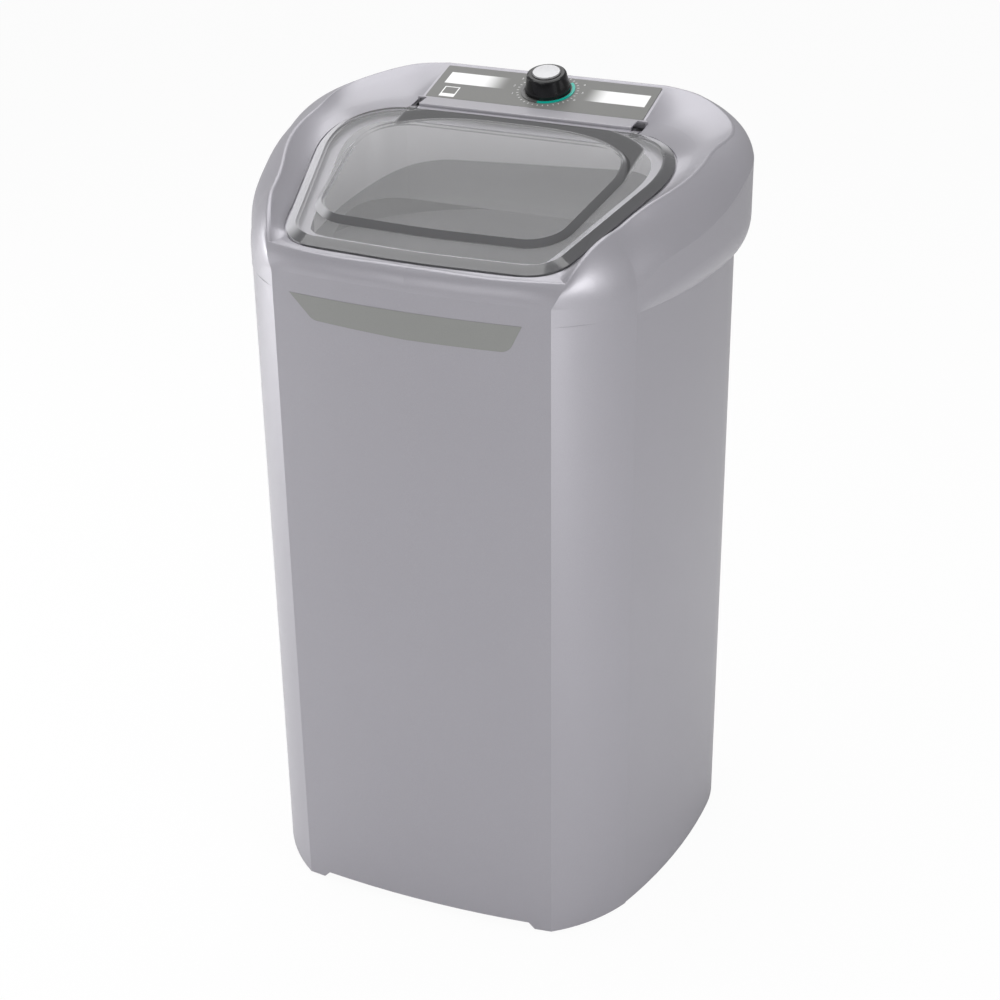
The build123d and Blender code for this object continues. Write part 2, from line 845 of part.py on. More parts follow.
def make_cabinet_shell():
    shell = wall_ring(side_step, wall + side_step, foot_lift) + ledge_ring(wall + side_step)
    shell = shell & seam_block(True)
    rear = crease_y + body_back
    shell -= block(-service_half, service_half, rear - 20, rear + 5, service_low, service_high)
    through = Pos(0, rear, 0) * Rot(90, 0, 0)
    shell -= Pos(drain_x, 0, drain_height) * through * Cylinder(spigot_radius, 40)
    shell -= Pos(gland_x, 0, gland_height) * through * Cylinder(gland_neck, 40)
    for x, z in service_screw_spots() + base_screw_spots:
        shell -= Pos(x, 0, z) * through * Cylinder(screw_radius, 40)
    for hole in ledge_screw_holes():
        shell -= hole
    return shell


def service_screw_spots():
    spots = []
    for z in (service_low - 9, (service_low + service_high) / 2, service_high + 9):
        spots += [(-service_half - 9, z), (service_half + 9, z)]
    return spots


def make_rear_cover():
    face_y = crease_y + body_back - side_step
    edge = 16
    plate = block(
        -service_half - edge, service_half + edge, face_y, face_y + rear_cover_thickness,
        service_low - edge, service_high + edge,
    )
    plate = fillet(plate.edges().filter_by(Axis.Y), 10)
    for row in range(louvre_rows):
        z = service_low + 90 + row * 18
        for x in (-42, 42):
            plate -= Pos(x, face_y, z) * Box(64, 20, 5)
    for x, z in service_screw_spots():
        plate -= Pos(x, face_y, z) * Rot(90, 0, 0) * Cylinder(screw_radius + 0.3, 30)
    return plate


def make_service_screws():
    face_y = crease_y + body_back - side_step + rear_cover_thickness
    return [pan_screw(x, face_y, z) for x, z in service_screw_spots()]


def pan_screw(x, y, z):
    """A pan-head screw driven forwards into the rear wall at height z."""
    shank = Pos(x, y - 6, z) * Rot(90, 0, 0) * Cylinder(screw_radius, 12)
    head = turned([(0, 0), (screw_head, 0), (screw_head - 0.8, 1.6), (1.6, 2.6), (1.6, 1.4), (0, 1.4)])
    return shank + Pos(x, y, z) * Rot(-90, 0, 0) * head


def make_base_screws():
    return [pan_screw(x, crease_y + body_back - side_step, z) for x, z in base_screw_spots]


# Base and feet

def base_outline(inset=0.0):
    return body_plan(wall + side_step + base_gap + inset)


def make_base_plate():
    """The floor of the machine, with windows for air and tools, carrying motor and feet."""
    plate = Pos(0, 0, base_height) * extrude(base_outline(), base_thickness)
    for x0, x1, b0, b1 in base_windows:
        window = block(x0, x1, crease_y + b0, crease_y + b1, 0, 60)
        plate -= fillet(window.edges().filter_by(Axis.Z), base_corner)
    for x, back in foot_spots:
        for side in (-1, 1):
            plate -= rod(foot_stem, 0, 60, side * x, crease_y + back)
    for x, y in bracket_screw_spots():
        plate -= rod(screw_radius, 0, 60, x, y)
    return plate


def make_base_rim():
    """An upright rim welded round the floor plate; the rear wall is screwed to it."""
    low = base_height + base_thickness
    rim = Pos(0, 0, low) * extrude(base_outline() - base_outline(base_thickness), base_lip)
    for x, z in base_screw_spots:
        rim -= Pos(x, crease_y + body_back, z) * Rot(90, 0, 0) * Cylinder(screw_radius, 40)
    return rim


def make_rubber_feet():
    feet = []
    plate_top = base_height + base_thickness
    for x, back in foot_spots:
        profile = [
            (0, 0), (foot_radius - 1, 0), (foot_radius, 1), (foot_radius - 2, base_height),
            (foot_stem, base_height), (foot_stem, plate_top), (foot_stem + 1.5, plate_top),
            (foot_stem - 1, plate_top + 4), (0, plate_top + 4),
        ]
        feet += both_sides(Pos(x, crease_y + back, 0) * turned(profile))
    return feet


# Wash tub, with the deck that closes the cabinet under the cover

def tub_profile(grow, floor):
    """Half section of the tub's inside, grown outwards, with a rounded floor corner."""
    bottom = tub_radius - tub_draft + grow
    top = tub_radius + grow
    turn = tub_corner + grow
    knee = turn * (1 - math.sqrt(0.5))
    low = floor
    lines = [
        Line((0, low), (bottom - turn, low)),
        ThreePointArc((bottom - turn, low), (bottom - knee, low + knee), (bottom, low + turn)),
        Line((bottom, low + turn), (top, 900)),
        Line((top, 900), (0, 900)),
        Line((0, 900), (0, low)),
    ]
    return revolve(make_face(Plane.XZ * Wire(lines)), Axis.Z)


def make_tub():
    inside = Pos(0, axis_y, 0) * tub_profile(0, tub_floor_height)
    outside = Pos(0, axis_y, 0) * tub_profile(tub_wall, tub_floor_height - tub_floor)
    body = outside - above_joint(-deck_drop)
    deck = Pos(0, 0, 600) * extrude(body_plan(wall + side_step + base_gap), 400)
    deck = (deck & above_joint(-deck_drop - deck_thickness, 100)) - above_joint(-deck_drop)
    tub = body + deck - inside
    rib_low = tub_floor_height - tub_floor - 14
    rib = block(housing_flange_radius + 3, tub_radius - 30, -2, 2, rib_low, tub_floor_height - 2)
    for index in range(tub_rib_count):
        angle = (index + 0.5) * 360 / tub_rib_count
        tub += Pos(0, axis_y, 0) * Rot(0, 0, angle) * rib
    through = (tub_floor_height - 3 * tub_floor, tub_floor_height + tub_floor)
    tub -= rod(hub_hole_radius, *through, 0, axis_y)
    tub -= rod(drain_inner, *through, drain_x, crease_y + drain_back)
    for x, y in housing_bolt_spots():
        tub -= rod(screw_radius, through[0], tub_floor_height - 2, x, y)
    for x, back in deck_screw_spots:
        tub -= rod(screw_radius + 0.3, deck_top(back) - 20, deck_top(back) + 20, x, crease_y + back)
    return tub - rod(harness_radius + 2, 700, 800, harness_x, crease_y + harness_back)


def deck_top(back):
    return joint_at(back) - deck_drop


def make_deck_screws():
    """Screws down through the tub's deck into the cabinet's ledge."""
    screws = []
    for x, back in deck_screw_spots:
        top = deck_top(back)
        low = top - deck_thickness - ledge_rib + 1
        head = rod(screw_head, top + 0.35, top + 3, x, crease_y + back)
        screws.append(head + rod(screw_radius, low, top + 1, x, crease_y + back))
    return screws


def ledge_screw_holes():
    holes = []
    for x, back in deck_screw_spots:
        top = deck_top(back) - deck_thickness
        holes.append(rod(screw_radius, top - ledge_rib + 1, top + 5, x, crease_y + back))
    return holes


def housing_bolt_spots():
    spots = []
    for index in range(6):
        angle = math.radians(index * 60)
        reach = housing_flange_radius - 9
        spots.append((reach * math.cos(angle), axis_y + reach * math.sin(angle)))
    return spots


def housing_top():
    """The housing's neck stands this high, just proud of the tub's floor."""
    return tub_floor_height + neck_proud


def make_bearing_housing():
    top = tub_floor_height - tub_floor
    low = top - housing_length
    flange_low = top - housing_flange_thickness
    housing = turned([
        (bush_radius, low), (housing_radius, low), (housing_radius, flange_low - 24),
        (housing_radius + 14, flange_low), (housing_flange_radius, flange_low), (housing_flange_radius, top),
        (hub_hole_radius, top), (hub_hole_radius, housing_top()), (bush_radius, housing_top()),
    ])
    rib = block(housing_radius - 2, housing_flange_radius - 14, -2, 2, flange_low - 26, flange_low)
    rib -= Pos(housing_flange_radius - 4, 0, flange_low - 34) * Rot(90, 0, 0) * Cylinder(30, 10)
    for index in range(6):
        housing += Rot(0, 0, 30 + index * 60) * rib
    housing = Pos(0, axis_y, 0) * housing
    for x, y in housing_bolt_spots():
        housing -= rod(screw_radius + 0.3, low, top + 1, x, y)
    return housing


def make_bushes():
    low = tub_floor_height - tub_floor - housing_length
    spots = (low, housing_top() - seal_height - bush_length)
    return [tube(bush_radius, shaft_radius + running_gap, z, z + bush_length, 0, axis_y) for z in spots]


def make_shaft_seal():
    top = housing_top()
    return tube(bush_radius, shaft_radius + running_gap, top - seal_height, top, 0, axis_y)


def make_housing_bolts():
    flange_low = tub_floor_height - tub_floor - housing_flange_thickness
    bolts = []
    for x, y in housing_bolt_spots():
        head = Pos(x, y, flange_low - 3) * extrude(RegularPolygon(screw_head, 6), 3)
        bolts.append(head + rod(screw_radius, flange_low - 1, tub_floor_height - 2, x, y))
    return bolts


def make_spindle():
    low = drive_height - pulley_width / 2 - 14
    high = tub_floor_height + agitator_seat + 30
    shaft = rod(shaft_radius, low, high, 0, axis_y)
    return shaft - block(shaft_radius - 1.5, 20, axis_y - 20, axis_y + 20, drive_height - 20, drive_height + 9)


# Agitator: a dished disc with four swept fins and a tall hub, moulded in one piece

def fin_outline():
    """A crescent from the hub to the rim, thicker at the hub."""
    inner, outer = agitator_hub_radius - 14, agitator_radius - 4
    lead = ThreePointArc((inner, -fin_thickness / 2), ((inner + outer) / 2, 14), (outer, -4))
    trail = ThreePointArc((outer, 2), ((inner + outer) / 2, 14 + fin_thickness), (inner, fin_thickness / 2))
    closing = [Line(lead @ 1, trail @ 0), Line(trail @ 1, lead @ 0)]
    return make_face([lead, closing[0], trail, closing[1]])


def agitator_envelope():
    """Height limit of the fins: high at the hub and falling to the rim."""
    base = tub_floor_height + agitator_gap
    edge = base + agitator_edge_height
    profile = Wire([
        Line((0, base), (agitator_radius, base)),
        Line((agitator_radius, base), (agitator_radius, edge)),
        ThreePointArc(
            (agitator_radius, edge), (agitator_radius - 40, edge + 6), (agitator_hub_radius, edge + fin_height)
        ),
        Line((agitator_hub_radius, edge + fin_height), (0, base + 80)),
        Line((0, base + 80), (0, base)),
    ])
    return revolve(make_face(Plane.XZ * profile), Axis.Z)


def dish(low, thickness, inner):
    edge = low + 4 + agitator_edge_height - agitator_dish_height
    rim = agitator_radius
    profile = Wire([
        Line((inner, low), (rim, low + 4)),
        Line((rim, low + 4), (rim, edge)),
        ThreePointArc((rim, edge), (rim - 5, edge + 2), (rim - 12, edge)),
        Line((rim - 12, edge), (rim - 30, low + thickness + 3)),
        Line((rim - 30, low + thickness + 3), (inner, low + thickness + 6)),
        Line((inner, low + thickness + 6), (inner, low)),
    ])
    return revolve(make_face(Plane.XZ * profile), Axis.Z)


def make_agitator():
    base = tub_floor_height + agitator_gap
    top = base + agitator_hub_height
    body = dish(base, agitator_wall, shaft_radius)
    fin = extrude(fin_outline(), 200)
    envelope = agitator_envelope()
    for index in range(fin_count):
        body += (Pos(0, 0, base + 2) * Rot(0, 0, index * 360 / fin_count) * fin) & envelope
    neck, foot = agitator_cap_radius, agitator_hub_radius
    hub = turned([
        (neck + 2, base + 2), (foot, base + 2), (foot - 6, base + 60), (neck + 6, top - 3), (neck + 3, top),
        (neck, top), (neck, top - 8), (neck - 3, top - 8), (neck - 3, top - 12), (neck + 1, top - 16),
        (foot - 12, base + 40),
    ])
    body += hub
    boss = tube(shaft_radius + 9, shaft_radius, base, base + 34)
    cover = rod(shaft_radius + 9, tub_floor_height + agitator_seat + 30, tub_floor_height + agitator_seat + 36)
    body = body + boss + (cover - rod(screw_radius, base, top))
    return Pos(0, axis_y, 0) * body


def make_agitator_screw():
    high = tub_floor_height + agitator_seat + 36
    screw = rod(screw_radius + 5, high, high + 4) + rod(screw_radius, high - 5.9, high)
    return Pos(0, axis_y, 0) * screw


def make_agitator_cap():
    top = tub_floor_height + agitator_gap + agitator_hub_height
    radius = agitator_cap_radius
    cap = turned([
        (0, top - 4), (radius - 3, top - 4), (radius - 3, top - 8), (radius, top - 8),
        (radius, top - 1), (radius - 3, top + 2), (0, top + 5),
    ])
    return Pos(0, axis_y, 0) * cap


# Belt drive

def grooved_pulley(radius, bore):
    low, high = drive_height - pulley_width / 2, drive_height + pulley_width / 2
    half = belt_width / 2 + seat_gap
    root = radius - belt_depth - 2
    return turned([
        (bore, low), (radius, low), (radius, drive_height - half), (root, drive_height - half + 2.5),
        (root, drive_height + half - 2.5), (radius, drive_height + half), (radius, high), (bore, high),
    ])


def make_driven_pulley():
    pulley = grooved_pulley(pulley_radius, shaft_radius)
    web = turned([
        (shaft_radius + 12, drive_height - 20), (pulley_radius - 14, drive_height - 20),
        (pulley_radius - 14, drive_height - 3), (shaft_radius + 12, drive_height - 3),
    ])
    pulley -= web
    pulley -= Pos(0, 0, 23) * web
    for index in range(6):
        hole = Rot(0, 0, index * 60) * rod(17, 0, 200, 64, 0)
        pulley -= hole
    flat = block(shaft_radius - 1.5, 20, -20, 20, drive_height - 20, drive_height + 20)
    pulley = pulley + (rod(shaft_radius, drive_height - 8, drive_height + 8) & flat)
    return Pos(0, axis_y, 0) * pulley


def make_spindle_nut():
    low = drive_height - pulley_width / 2
    nut = Pos(0, 0, low - 9) * extrude(RegularPolygon(13, 6), 7.5) + rod(15, low - 1.5, low)
    return Pos(0, axis_y, 0) * (nut - rod(shaft_radius, 0, 200))


def make_motor_pulley():
    pulley = grooved_pulley(motor_pulley_radius, motor_shaft_radius)
    return Pos(motor_x, motor_y, 0) * pulley


def make_drive_belt():
    """The V-belt round both pulleys, riding just clear of the grooves' flanks."""
    span = math.hypot(motor_offset_x, motor_offset_back)
    lean = math.degrees(math.acos((pulley_radius - motor_pulley_radius) / span))
    run = span * math.sin(math.radians(lean))

    def section(radius):
        depth, outer, inner = belt_depth + 0.6, belt_width / 2 - 0.6, belt_width / 2 - 2.5
        points = [(radius - 1, -outer), (radius - 1, outer), (radius - depth, inner), (radius - depth, -inner)]
        return make_face(Plane.XZ * Polyline(*points, close=True))

    far = Rot(0, 0, lean) * revolve(section(pulley_radius), Axis.Z, 360 - 2 * lean)
    near = Pos(span, 0, 0) * Rot(0, 0, -lean) * revolve(section(motor_pulley_radius), Axis.Z, 2 * lean)
    strand = Rot(0, 0, lean) * extrude(section(pulley_radius), run, dir=(0, -1, 0))
    band = far + near + strand + strand.mirror(Plane.XZ)
    return Pos(0, axis_y, drive_height) * Rot(0, 0, motor_heading) * band


# Motor on its bridge

def motor_part(shape):
    return Pos(motor_x, motor_y, 0) * Rot(0, 0, motor_heading) * shape


def bracket_screw_spots():
    heading = math.radians(motor_heading)
    spots = []
    for along in (-20, 20):
        for across in (-bridge_half - 12, bridge_half + 12):
            x = motor_x + along * math.cos(heading) - across * math.sin(heading)
            y = motor_y + along * math.sin(heading) + across * math.cos(heading)
            spots.append((x, y))
    return spots


def motor_bolt_spots():
    reach = motor_radius - 8
    return [(reach * math.cos(a), reach * math.sin(a)) for a in (math.radians(45 + 90 * k) for k in range(4))]


def make_motor_bridge():
    t = motor_bracket_thickness
    floor_z = base_height + base_thickness
    plate = block(-52, 52, -bridge_half, bridge_half, motor_low - t, motor_low)
    for side in (-1, 1):
        y0, y1 = sorted((side * bridge_half, side * (bridge_half - t)))
        plate += block(-34, 34, y0, y1, floor_z, motor_low - 1)
        f0, f1 = sorted((side * (bridge_half - t), side * (bridge_half + 24)))
        plate += block(-34, 34, f0, f1, floor_z, floor_z + t)
    plate -= rod(22, 0, 200)
    for x, y in motor_bolt_spots():
        plate -= rod(screw_radius + 0.3, motor_low - 20, 200, x, y)
    plate = motor_part(plate)
    for x, y in bracket_screw_spots():
        plate -= rod(screw_radius + 0.3, 0, 60, x, y)
    return plate


def make_bridge_screws():
    top = base_height + base_thickness + motor_bracket_thickness
    hexagon = extrude(RegularPolygon(screw_head, 6), 4)
    return [
        rod(screw_radius, base_height + 1, top, x, y) + Pos(x, y, top) * hexagon
        for x, y in bracket_screw_spots()
    ]


def shield():
    """One pressed end shield, its closed end at the bottom."""
    bore = motor_shaft_radius + 4
    profile = [
        (bore, 0), (24, 0), (30, 4), (motor_radius, 8), (motor_radius, shield_height),
        (motor_radius - 4, shield_height), (motor_radius - 4, 12), (28, 8), (16, 6), (16, 14), (bore, 14),
    ]
    cup = turned(profile)
    for index in range(8):
        cup -= Rot(0, 0, index * 45 + 22.5) * Pos(44, 0, 8) * Box(14, 9, 20)
    return cup


def make_motor_shields():
    lower = Pos(0, 0, motor_low) * shield()
    upper = Pos(0, 0, motor_low + motor_height) * Rot(180, 0, 0) * shield()
    shields = []
    for cup in (lower, upper):
        for x, y in motor_bolt_spots():
            cup -= rod(screw_radius, motor_low - 20, motor_low + motor_height + 20, x, y)
        shields.append(motor_part(cup))
    return shields


def make_motor_stator():
    low, high = motor_low + shield_height, motor_low + motor_height - shield_height
    core = tube(motor_radius, rotor_radius + 1.0, low, high)
    for x, y in motor_bolt_spots():
        core -= rod(screw_radius, low - 5, high + 5, x, y)
    return motor_part(core)


def make_motor_windings():
    rings = []
    top = motor_low + motor_height - shield_height
    for z in (motor_low + shield_height - winding_height, top):
        rings.append(motor_part(tube(motor_radius - 16, rotor_radius + 3, z, z + winding_height)))
    return rings


def make_motor_bearings():
    bearings = []
    for z in (motor_low + 2, motor_low + motor_height - 12):
        ring = tube(motor_shaft_radius + 4, motor_shaft_radius + running_gap, z, z + 10)
        bearings.append(motor_part(ring))
    return bearings


def make_motor_bolts():
    bolts = []
    for x, y in motor_bolt_spots():
        low, high = motor_low - motor_bracket_thickness, motor_low + motor_height
        bolt = rod(screw_radius, low - 1, high + 6, x, y)
        bolt += Pos(x, y, low - 4) * extrude(RegularPolygon(screw_head, 6), 4)
        nut = Pos(x, y, high - spacer_height) * extrude(RegularPolygon(screw_head, 6), 4)
        bolts.append(motor_part(bolt + nut))
    return bolts


def make_motor_spacers():
    top = motor_low + spacer_height - 0.4
    return [motor_part(tube(7, screw_radius, motor_low, top, x, y)) for x, y in motor_bolt_spots()]


def make_rotor():
    low, high = motor_low + 20, motor_low + motor_height - 20
    rotor = tube(rotor_radius, motor_shaft_radius, low, high)
    return motor_part(rotor)


def make_motor_shaft():
    low = drive_height - pulley_width / 2 - 4
    return motor_part(rod(motor_shaft_radius, low, motor_low + motor_height + 14))


def make_motor_fan():
    z = motor_low + motor_height + 2
    fan = rod(14, z, z + 10) + rod(44, z, z + 1.6)
    for index in range(9):
        fan += Rot(0, 0, index * 40) * block(12, 43, -0.8, 0.8, z, z + 10)
    return motor_part(fan - rod(motor_shaft_radius, 0, 400))


# Electrics and drain

def make_capacitor():
    floor_z = base_height + base_thickness
    can = rod(capacitor_radius, floor_z, floor_z + 78)
    can = fillet(can.edges().group_by(Axis.Z)[-1], 2)
    for x in (-7, 7):
        can += Pos(x, 0, floor_z + 82) * Box(0.8, 6.3, 10)
    return Pos(capacitor_x, crease_y + capacitor_back, 0) * can


def make_capacitor_clamp():
    floor_z = base_height + base_thickness
    band = tube(capacitor_radius + 1.5, capacitor_radius, floor_z + 24, floor_z + 38)
    arm = block(capacitor_radius + 0.5, capacitor_radius + 3, -8, 8, floor_z, floor_z + 38)
    toe = block(capacitor_radius + 0.5, capacitor_radius + 18, -8, 8, floor_z, floor_z + 1.5)
    return Pos(capacitor_x, crease_y + capacitor_back, 0) * (band + arm + toe)


def make_cord_gland():
    wall_y = crease_y + body_back - side_step
    gland = turned([
        (gland_bore, 0), (gland_neck, 0), (gland_neck, wall), (gland_neck + 4, wall),
        (gland_neck + 4, wall + 3), (gland_neck, wall + 11), (gland_bore, wall + 11),
    ])
    nut = tube(gland_neck + 4, gland_neck, -3, 0) + tube(gland_neck, gland_bore, -3, 0)
    return Pos(gland_x, wall_y - wall, gland_height) * Rot(-90, 0, 0) * (gland + nut)


def make_drain_outlet():
    under = tub_floor_height - tub_floor
    x, y = drain_x, crease_y + drain_back
    strainer = rod(drain_inner + 5, tub_floor_height, tub_floor_height + 1.5, x, y)
    body = rod(drain_inner, under, tub_floor_height + 0.5, x, y)
    collar = rod(drain_inner + 7, under - 4, under, x, y) + rod(spigot_radius - 3, under - 34, under - 4, x, y)
    part = strainer + body + collar - rod(spigot_radius - 5.5, under - 60, tub_floor_height - 2, x, y)
    for index in range(6):
        angle = math.radians(index * 60)
        spot = (x + 8.5 * math.cos(angle), y + 8.5 * math.sin(angle))
        part -= rod(3, tub_floor_height - 3, tub_floor_height + 3, *spot)
    return part


def make_drain_spigot():
    wall_y = crease_y + body_back - side_step
    inner_end = -34
    bore, neck, tip = spigot_radius - 5.5, spigot_radius - 3, spigot_radius - 1.5
    profile = [
        (bore, inner_end), (neck, inner_end), (neck, -wall - 4), (spigot_radius + 4, -wall - 4),
        (spigot_radius + 4, -wall), (spigot_radius, -wall), (spigot_radius, 0), (tip, 2),
        (tip, shoulder_rear_proud), (bore, shoulder_rear_proud),
    ]
    return Pos(drain_x, wall_y, drain_height) * Rot(-90, 0, 0) * turned(profile)


def make_drain_hose():
    """The inner hose from the tub's outlet down and back to the spigot in the rear wall."""
    under = tub_floor_height - tub_floor
    wall_y = crease_y + body_back - side_step
    x, y = drain_x, crease_y + drain_back
    start = Vector(x, y, under - 8)
    turn_top = Vector(x, y, drain_height + hose_bend)
    turn_end = Vector(x, y + hose_bend, drain_height)
    knee = hose_bend * (1 - math.sqrt(0.5))
    path = Wire([
        Line(start, turn_top),
        ThreePointArc(turn_top, Vector(x, y + knee, drain_height + knee), turn_end),
        Line(turn_end, Vector(x, wall_y - wall - 5, drain_height)),
    ])
    radius = spigot_radius - 3
    ring = Plane(origin=start, z_dir=(0, 0, -1)) * (Circle(radius + hose_wall) - Circle(radius))
    return sweep(ring, path=path)


def make_hose_clamps():
    under = tub_floor_height - tub_floor
    wall_y = crease_y + body_back - side_step
    outer = spigot_radius - 3 + hose_wall
    top = tube(outer + 1, outer, under - 26, under - 18, drain_x, crease_y + drain_back)
    lug = block(outer + 0.5, outer + 9, -4, 4, under - 26, under - 18)
    top += Pos(drain_x, crease_y + drain_back, 0) * lug
    rear = tube(outer + 1, outer, -26, -18) + block(outer + 0.5, outer + 9, -4, 4, -26, -18)
    return [top, Pos(drain_x, wall_y, drain_height) * Rot(-90, 0, 0) * rear]


os.makedirs("parts", exist_ok=True)
save("top_cover", make_top_cover())
save("hinge_cover", make_hinge_cover())
save("hinge_brackets", *make_hinge_brackets())
save("hinge_pins", *make_hinge_pins())
save("lid", make_lid())
save("lid_bumpers", *make_lid_bumpers())
save("control_label", make_control_label())
save("dial_ring", make_dial_ring())
save("timer", make_timer())
save("timer_shaft", make_timer_shaft())
save("timer_screws", *make_timer_screws())
save("wire_harness", make_wire_harness())
save("knob", make_knob())
save("knob_cap", make_knob_cap())
save("badge_band", make_badge_band())
save("cabinet_front", make_cabinet_front())
save("cabinet_shell", make_cabinet_shell())
save("rear_cover", make_rear_cover())
save("service_screws", *make_service_screws())
save("base_screws", *make_base_screws())
save("base_plate", make_base_plate())
save("base_rim", make_base_rim())
save("rubber_feet", *make_rubber_feet())
save("tub", make_tub())
save("deck_screws", *make_deck_screws())
save("bearing_housing", make_bearing_housing())
save("bushes", *make_bushes())
save("shaft_seal", make_shaft_seal())
save("housing_bolts", *make_housing_bolts())
save("spindle", make_spindle())
save("agitator", make_agitator())
save("agitator_screw", make_agitator_screw())
save("agitator_cap", make_agitator_cap())
save("driven_pulley", make_driven_pulley())
save("spindle_nut", make_spindle_nut())
save("motor_pulley", make_motor_pulley())
save("drive_belt", make_drive_belt())
save("motor_bridge", make_motor_bridge())
save("bridge_screws", *make_bridge_screws())
save("motor_shields", *make_motor_shields())
save("motor_stator", make_motor_stator())
save("motor_windings", *make_motor_windings())
save("motor_bearings", *make_motor_bearings())
save("motor_bolts", *make_motor_bolts())
save("motor_spacers", *make_motor_spacers())
save("rotor", make_rotor())
save("motor_shaft", make_motor_shaft())
save("motor_fan", make_motor_fan())
save("capacitor", make_capacitor())
save("capacitor_clamp", make_capacitor_clamp())
save("cord_gland", make_cord_gland())
save("drain_outlet", make_drain_outlet())
save("drain_spigot", make_drain_spigot())
save("drain_hose", make_drain_hose())
save("hose_clamps", *make_hose_clamps())
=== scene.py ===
import math

import bpy
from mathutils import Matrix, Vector


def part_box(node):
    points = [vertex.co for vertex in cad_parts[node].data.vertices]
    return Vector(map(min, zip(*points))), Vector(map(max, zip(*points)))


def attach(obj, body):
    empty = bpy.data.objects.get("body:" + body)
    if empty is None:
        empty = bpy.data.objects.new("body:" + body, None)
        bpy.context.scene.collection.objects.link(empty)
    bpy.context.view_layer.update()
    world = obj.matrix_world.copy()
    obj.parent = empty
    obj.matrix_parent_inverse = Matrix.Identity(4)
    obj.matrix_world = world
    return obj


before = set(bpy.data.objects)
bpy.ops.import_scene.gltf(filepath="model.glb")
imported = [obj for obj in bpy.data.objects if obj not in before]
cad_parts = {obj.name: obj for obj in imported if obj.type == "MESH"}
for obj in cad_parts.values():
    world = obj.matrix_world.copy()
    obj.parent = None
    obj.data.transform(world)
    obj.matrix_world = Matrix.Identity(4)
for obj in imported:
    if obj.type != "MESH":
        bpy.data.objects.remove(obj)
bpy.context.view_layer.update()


# Camera. The photograph was taken from the front right and above, with a long lens
# that keeps the cabinet's edges almost upright; the frame sits low and to the left.
eye = bpy.data.objects.new("eye", bpy.data.cameras.new("eye"))
bpy.context.scene.collection.objects.link(eye)
eye.location = (0.7842, -1.9039, 1.5668)
eye.rotation_euler = (math.radians(64.32), 0, math.radians(20.408))
eye.data.sensor_width = 36
eye.data.lens = 70.73
eye.data.shift_x = -0.0530
eye.data.shift_y = -0.1074
bpy.context.scene.camera = eye


# Materials are written as plain formulas. A Field is a value that varies over a
# surface, and a Finish holds the nodes of one material.
class Field:
    """A value that varies over a surface; arithmetic on it adds Math nodes."""

    def __init__(self, finish, socket):
        self.finish = finish
        self.socket = socket

    def math(self, operation, *values):
        sockets = dict(enumerate(values))
        return self.finish.node("ShaderNodeMath", {"operation": operation}, sockets)

    def __add__(self, other):
        return self.math("ADD", self, other)

    def __radd__(self, other):
        return self.math("ADD", other, self)

    def __sub__(self, other):
        return self.math("SUBTRACT", self, other)

    def __rsub__(self, other):
        return self.math("SUBTRACT", other, self)

    def __mul__(self, other):
        return self.math("MULTIPLY", self, other)

    def __truediv__(self, other):
        return self.math("DIVIDE", self, other)

    def __neg__(self):
        return self.math("MULTIPLY", self, -1.0)

    def __abs__(self):
        return self.math("ABSOLUTE", self)

    def __pow__(self, other):
        return self.math("POWER", self, other)

    def most(self, other):
        return self.math("MAXIMUM", self, other)

    def fraction(self):
        return self.math("FRACT", self)

    def angle(self, across):
        """The angle of the point this far up and that far across, in radians."""
        return self.math("ARCTAN2", self, across)

    def rises(self, low, high):
        """0 below low, 1 above high, with a smooth step between them."""
        settings = {"interpolation_type": "SMOOTHSTEP"}
        sockets = {"Value": self, 1: low, 2: high, 3: 0.0, 4: 1.0}
        return self.finish.node("ShaderNodeMapRange", settings, sockets)

    def within(self, low, high, soft):
        """1 between low and high, fading over soft at each end."""
        return self.rises(low - soft, low + soft) * (1 - self.rises(high - soft, high + soft))


class Finish:
    """A material: its nodes, and the surface shader they end in."""

    def __init__(self, name, **surface):
        self.material = bpy.data.materials.new(name)
        self.material.use_nodes = True
        self.tree = self.material.node_tree
        self.surface = self.tree.nodes["Principled BSDF"]
        for socket, value in surface.items():
            self.surface.inputs[socket.replace("_", " ")].default_value = value

    def node(self, kind, settings, sockets, out=0):
        made = self.tree.nodes.new(kind)
        for name, value in settings.items():
            setattr(made, name, value)
        for name, value in sockets.items():
            self.put(made.inputs[name], value)
        return Field(self, made.outputs[out])

    def put(self, socket, value):
        if isinstance(value, Field):
            self.tree.links.new(value.socket, socket)
        elif isinstance(value, tuple) and len(value) == 3 and socket.type == "RGBA":
            socket.default_value = (*value, 1)
        else:
            socket.default_value = value

    def set(self, name, value):
        self.put(self.surface.inputs[name], value)

    def place(self):
        return self.node("ShaderNodeTexCoord", {}, {}, "Object")

    def axes(self, place):
        parts = self.node("ShaderNodeSeparateXYZ", {}, {0: place})
        return [Field(self, parts.socket.node.outputs[index]) for index in range(3)]

    def noise(self, scale, detail=3.0):
        sockets = {"Vector": self.place(), "Scale": scale, "Detail": detail}
        return self.node("ShaderNodeTexNoise", {}, sockets)

    def blend(self, factor, first, second):
        sockets = {0: factor, 6: first, 7: second}
        return self.node("ShaderNodeMix", {"data_type": "RGBA"}, sockets, 2)

    def bump(self, height, strength, distance):
        sockets = {"Height": height, "Strength": strength, "Distance": distance}
        return self.node("ShaderNodeBump", {}, sockets)


def srgb(*levels):
    """A colour as read off a picture, 0 to 255, turned into light."""
    return tuple(
        level / 255 / 12.92 if level <= 10 else ((level / 255 + 0.055) / 1.055) ** 2.4
        for level in levels
    )


# Studio floor, backdrop light and lamps. Everything round the machine is white. The
# backdrop lights the machine less than it shows the camera, and the floor shows the
# camera mostly its own white, so that the shadow on it stays faint.
ambient_level = 0.40
floor_glow = 0.95


